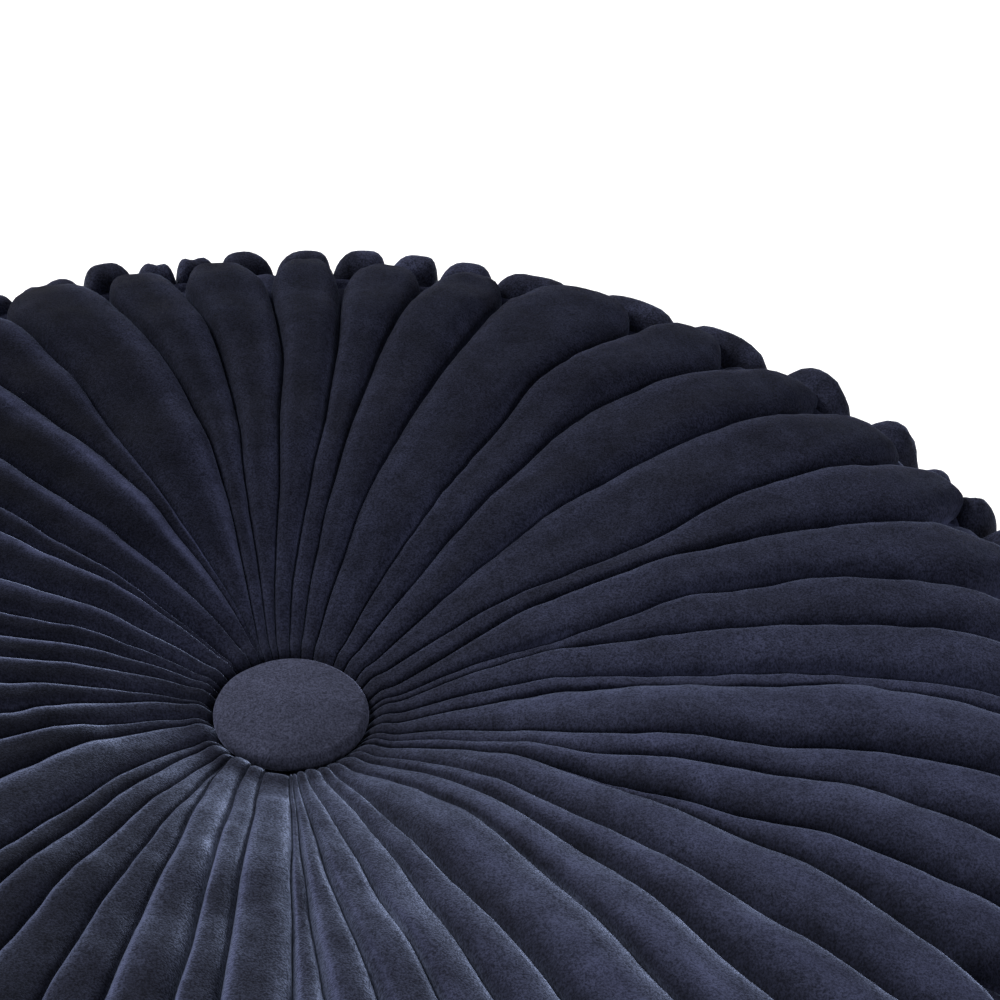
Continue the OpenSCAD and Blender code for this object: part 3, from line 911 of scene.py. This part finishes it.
def velvet(name, deep, lit, sheen_tint, sheen, grain, patches, lie, bump, crush, button_shade):
    """Short pile: dark seen from above, lighter at a glance.

    deep and lit are the colours of the pile turned away and towards the light. grain,
    patches and crush are the contrast of single tufts, of broad patches and streaks, and
    of worn spots. lie leans the pile towards the axis; the last setting is painted shade,
    darker under and round the button.
    """
    nodes = Nodes(bpy.data.materials.new(name))
    times = lambda first, second: nodes.math("MULTIPLY", first, second)
    place = nodes.place()
    squeezed = nodes.add("Mapping", Vector=place, Scale=(1, 1, 0.6)).outputs[0]
    patch = nodes.noise(place, Scale=38.0, Detail=4.0, Roughness=0.6, Distortion=0.8)
    worn = nodes.noise(place, Scale=130.0, Detail=5.0, Roughness=0.7, Distortion=0.4)
    pile = nodes.noise(squeezed, Scale=2100.0, Detail=1.5, Roughness=0.6)
    tuft = nodes.noise(squeezed, Scale=800.0, Detail=2.0, Roughness=0.6)
    patch = nodes.remap(patch, 0.33, 0.68)
    pile = nodes.remap(pile, 0.36, 0.64)
    tuft = nodes.remap(tuft, 0.32, 0.68)
    fine = nodes.math("ADD", times(pile, 0.72), times(tuft, 0.28))
    # the pile's own light and dark
    tone = times(nodes.remap(fine, 0.0, 1.0, 1 - grain, 1 + grain),
                 nodes.remap(patch, 0.0, 1.0, 1 - patches, 1 + patches))
    worn = nodes.remap(worn, 0.32, 0.68, 1 - crush, 1 + crush)
    tone = times(tone, worn)
    # long streaks that follow the pleats: the noise is stretched along the radius
    flat = nodes.vector("MULTIPLY", place, (1, 1, 0))
    outward = nodes.vector("NORMALIZE", flat)
    radius = nodes.length(flat)
    lifted = nodes.add("CombineXYZ", Z=times(radius, 0.5)).outputs[0]
    along = nodes.vector("MULTIPLY_ADD", outward, (0.20, 0.20, 0.20), lifted)
    streak = nodes.noise(along, Scale=60.0, Detail=4.0, Roughness=0.62, Distortion=0.5)
    tone = times(tone, nodes.remap(streak, 0.34, 0.66, 1 - patches, 1 + patches))
    # painted light and shade across the pleats, read from the mesh; it scales both the colour and
    # the sheen weight
    painted_shading = nodes.add("Attribute", attribute_name="painted_pleat_light").outputs["Fac"]
    tone = times(tone, nodes.math("ADD", painted_shading, 1.0))
    # painted shade: darker under and round the button, in its dimple
    tone = times(tone, nodes.remap(radius, 0.019, 0.036, 1 - button_shade, 1.0))
    # painted highlight: where the painted light is strongest, along the pleats' bright stripes,
    # it is lifted further
    above = nodes.math("MAXIMUM", nodes.math("SUBTRACT", painted_shading, 0.40), 0.0)
    painted_ridge_highlight = times(above, 1.9)
    factor = nodes.math("ADD", times(tone, 0.5), times(painted_ridge_highlight, worn))
    # the pile leans towards the middle of the cushion
    normal = nodes.add("NewGeometry").outputs["Normal"]
    colour = nodes.mix(factor, deep, lit, clamp_factor=False)
    sheen_weight = nodes.math("MINIMUM", times(tone, sheen), 1.0)
    rough = nodes.remap(fine, 0, 1, 0.98, 0.82)
    lean = nodes.vector("SCALE", outward,
                        Scale=nodes.remap(radius, 0.020, 0.060, -0.35 * lie, -lie))
    leaning = nodes.vector("NORMALIZE", nodes.vector("ADD", normal, lean))
    bumped = nodes.add("Bump", Strength=bump, Distance=0.0004, Height=fine, Normal=leaning)
    nodes.surface({
        "Base Color": colour, "Sheen Weight": sheen_weight, "Sheen Roughness": 0.3,
        "Sheen Tint": (*sheen_tint, 1), "Roughness": rough, "Specular IOR Level": 0.06,
        "Normal": bumped.outputs[0]})
    return nodes.owner


def woven(name, dark, pale, scale, rough, bump, sheen):
    """Plain weave, from two crossed bands at the thread's own scale."""
    nodes = Nodes(bpy.data.materials.new(name))
    place = nodes.place()
    bands = [nodes.add("TexWave", wave_type="BANDS", bands_direction=axis, Vector=place,
                       Scale=scale, Distortion=1.2, Detail=1.0).outputs["Fac"]
             for axis in "XY"]
    uneven = nodes.noise(place, Scale=60.0, Detail=4.0)
    weave = nodes.math("MAXIMUM", *bands)
    colour = nodes.mix(nodes.math("MULTIPLY", weave, uneven), dark, pale)
    bumped = nodes.add("Bump", Strength=bump, Distance=0.0002, Height=weave)
    nodes.surface({"Base Color": colour, "Normal": bumped.outputs[0], "Roughness": rough,
                   "Sheen Weight": sheen})
    return nodes.owner


def grained(name, dark, pale, scale, rough, metallic=0.0, bump=0.1, detail=4.0,
            stretch=(1, 1, 1), distance=0.0002):
    """Colour, roughness and bump from one noise."""
    nodes = Nodes(bpy.data.materials.new(name))
    place = nodes.add("Mapping", Vector=nodes.place(), Scale=stretch).outputs[0]
    grain = nodes.noise(place, Scale=scale, Detail=detail)
    bumped = nodes.add("Bump", Strength=bump, Distance=distance, Height=grain)
    nodes.surface({
        "Base Color": nodes.mix(grain, dark, pale),
        "Roughness": nodes.remap(grain, 0.0, 1.0, rough - 0.12, rough + 0.12),
        "Normal": bumped.outputs[0], "Metallic": metallic})
    return nodes.owner


velvet_mat = velvet(
    "blue_velvet", deep=(0.0008, 0.0009, 0.0020), lit=(0.0155, 0.0175, 0.0355),
    sheen_tint=(0.440, 0.530, 0.825), sheen=0.52, grain=0.66, patches=0.20, lie=0.42,
    bump=0.16, crush=0.26, button_shade=0.45)
band_mat = velvet(
    "blue_velvet_gathered", deep=(0.0008, 0.0009, 0.0020), lit=(0.0215, 0.0240, 0.0460),
    sheen_tint=(0.400, 0.480, 0.745), sheen=0.30, grain=0.70, patches=0.42, lie=0.16,
    bump=0.30, crush=0.42, button_shade=0.0)
button_mat = velvet(
    "button_velvet", deep=(0.004, 0.0045, 0.0075), lit=(0.043, 0.047, 0.080),
    sheen_tint=(0.33, 0.37, 0.60), sheen=0.34, grain=0.62, patches=0.12, lie=0.0,
    bump=0.15, crush=0.16, button_shade=0.0)
calico_mat = woven("calico", dark=(0.60, 0.55, 0.45), pale=(0.80, 0.76, 0.66), scale=420.0,
                   rough=0.9, bump=0.3, sheen=0.1)
calico_thread_mat = grained("calico_thread", dark=(0.70, 0.67, 0.58), pale=(0.84, 0.81, 0.73),
                            scale=1800.0, rough=0.8)
fibre_mat = grained("polyester_fibre", dark=(0.74, 0.74, 0.73), pale=(0.90, 0.90, 0.88),
                    scale=240.0, rough=0.85, bump=0.6, detail=8.0, stretch=(1, 1, 4),
                    distance=0.0012)
thread_mat = grained("navy_thread", dark=(0.006, 0.007, 0.013), pale=(0.020, 0.023, 0.040),
                     scale=2200.0, rough=0.7, bump=0.3)
twine_mat = grained("linen_twine", dark=(0.62, 0.54, 0.38), pale=(0.82, 0.76, 0.60),
                    scale=1500.0, rough=0.75, bump=0.4, stretch=(1, 1, 0.25))
alloy_mat = grained("pressed_aluminium", dark=(0.72, 0.72, 0.74), pale=(0.84, 0.84, 0.85),
                    scale=700.0, rough=0.38, metallic=1.0, bump=0.06)
steel_mat = grained("zinc_plated_steel", dark=(0.50, 0.51, 0.54), pale=(0.68, 0.68, 0.70),
                    scale=380.0, rough=0.34, metallic=1.0, bump=0.08, detail=6.0)
wire_mat = grained("zinc_plated_wire", dark=(0.46, 0.47, 0.49), pale=(0.62, 0.62, 0.64),
                   scale=900.0, rough=0.30, metallic=1.0, bump=0.05, detail=3.0,
                   stretch=(1, 1, 0.2))


def dress(ob, material):
    ob.data.materials.clear()
    ob.data.materials.append(material)


METAL_PARTS = (("button_shell", alloy_mat), ("back_plate", steel_mat),
               ("button_loop", wire_mat))
for part_name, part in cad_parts.items():
    for ending, material in METAL_PARTS:
        if part_name.endswith(ending):
            dress(part, material)

# ------------------------------------------------------------------ what each piece stands for
# Soft pieces stay where they are made, on no body: object, CAD part, slot, material.
SOFT = (
    (top_cover, "top_panel", "velvet", velvet_mat),
    (band, "side_band", "velvet", band_mat),
    (bottom_cover, "bottom_panel", "velvet", velvet_mat),
    (top_stitch, "top_rim_seam", "seam_thread", thread_mat),
    (bottom_stitch, "bottom_rim_seam", "seam_thread", thread_mat),
    (top_gather, "top_gather_thread", "seam_thread", thread_mat),
    (bottom_gather, "bottom_gather_thread", "seam_thread", thread_mat),
    (bag_top, "lining_top", "calico", calico_mat),
    (bag_side, "lining_side", "calico", calico_mat),
    (bag_bottom, "lining_bottom", "calico", calico_mat),
    (bag_stitch_top, "lining_top_seam", "calico_thread", calico_thread_mat),
    (bag_stitch_bottom, "lining_bottom_seam", "calico_thread", calico_thread_mat),
    (filling, "fibre_fill", "fibre", fibre_mat),
)
for piece, part_name, slot, material in SOFT:
    dress(piece, material)
    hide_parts(part_name)
    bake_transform(piece)

for piece in (twine_eyes, twine_length):
    dress(piece, twine_mat)
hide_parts("tufting_twine")
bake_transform(twine_length)
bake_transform(twine_eyes)

# Stiff pieces ride on one body: object, CAD part, slot, body, material.
STIFF = (
    (top_button, "top_button_cover", "button_velvet", "crown", button_mat),
    (bottom_button, "bottom_button_cover", "button_velvet", "base", button_mat),
    (knot, "twine_knot", "twine", "base", twine_mat),
)
for piece, part_name, slot, body, material in STIFF:
    dress(piece, material)
    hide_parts(part_name)
    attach(piece, body)

# ------------------------------------------------------------------ floor and backdrop
scene = bpy.context.scene


def make_floor():
    half = 4000
    corners = [(-half, -half, 0), (half, -half, 0), (half, half, 0), (-half, half, 0)]
    floor = add_mesh("floor", corners, [(0, 1, 2, 3)], smooth_shading=False)
    nodes = Nodes(bpy.data.materials.new("pale_floor"))
    # the floor fades into the backdrop a good way out from the cushion
    fade = nodes.remap(nodes.length(nodes.place()), 0.9, 1.9, 1.0, 0.0)
    nodes.surface({"Base Color": (0.93, 0.93, 0.93, 1), "Roughness": 0.8,
                   "Specular IOR Level": 0.2, "Alpha": fade})
    dress(floor, nodes.owner)


def make_world():
    """The backdrop looks white, while the light it gives is softer."""
    scene.world = bpy.data.worlds.new("studio")
    nodes = Nodes(scene.world)
    camera_ray = nodes.add("LightPath").outputs["Is Camera Ray"]
    background = nodes.tree.nodes["Background"]
    nodes.feed(background.inputs["Color"], (1, 1, 1, 1))
    nodes.feed(background.inputs["Strength"], nodes.remap(camera_ray, 0.0, 1.0, 0.46, 1.0))


make_floor()
scene.view_settings.view_transform = "Standard"
make_world()


# ------------------------------------------------------------------ lights and camera, in metres
def area_light(name, place, target, size, power):
    light = bpy.data.lights.new(name, "AREA")
    light.energy = power
    light.size = size
    ob = bpy.data.objects.new(name, light)
    scene.collection.objects.link(ob)
    ob.location = place
    aim_line = Vector(target) - Vector(place)
    ob.rotation_euler = aim_line.to_track_quat("-Z", "Y").to_euler()


area_light("key", place=(-1.30, 1.10, 1.25), target=(0, 0, 0.08), size=0.7, power=72)
area_light("fill", place=(1.1, -1.6, 0.85), target=(0, 0, 0.08), size=1.0, power=31)
area_light("back", place=(0.6, 1.8, 1.1), target=(0, 0.1, 0.08), size=1.2, power=10)

SENSOR_WIDTH, LENS = 36.0, 93.6
CAMERA_ANCHOR = Vector((0, 0, 0.0802))     # a point on the axis that places the camera
CAMERA_DISTANCE = 0.64102564               # from the anchor
CAMERA_ELEVATION = math.radians(42.1)
CAMERA_ROLL = math.radians(0.87)
# where the anchor stands in the view: right, up and back from the lens
ANCHOR_IN_VIEW = (-0.08153846154, -0.08115384615, -1.0)


def make_camera():
    camera = bpy.data.cameras.new("camera")
    camera.sensor_width = SENSOR_WIDTH
    camera.lens = LENS
    camera.clip_end = 20
    ob = bpy.data.objects.new("camera", camera)
    scene.collection.objects.link(ob)
    scene.camera = ob
    away = Vector((0, -math.cos(CAMERA_ELEVATION), math.sin(CAMERA_ELEVATION)))
    offset = away * CAMERA_DISTANCE
    forward = -offset.normalized()
    right = Vector((1, 0, 0))
    facing_anchor = Matrix((right, right.cross(forward), -forward))
    # turn aside from the anchor, so that it stands off the middle of the view
    sight = Vector(ANCHOR_IN_VIEW).normalized()
    yaw = Matrix.Rotation(math.atan2(-sight.x, -sight.z), 3, "Y")
    pitch = Matrix.Rotation(math.asin(sight.y), 3, "X")
    roll = Matrix.Rotation(CAMERA_ROLL, 3, "Z")
    to_view = roll @ (yaw @ pitch) @ facing_anchor
    place = Matrix.Translation(CAMERA_ANCHOR + offset)
    ob.matrix_world = place @ to_view.transposed().to_4x4()


make_camera()
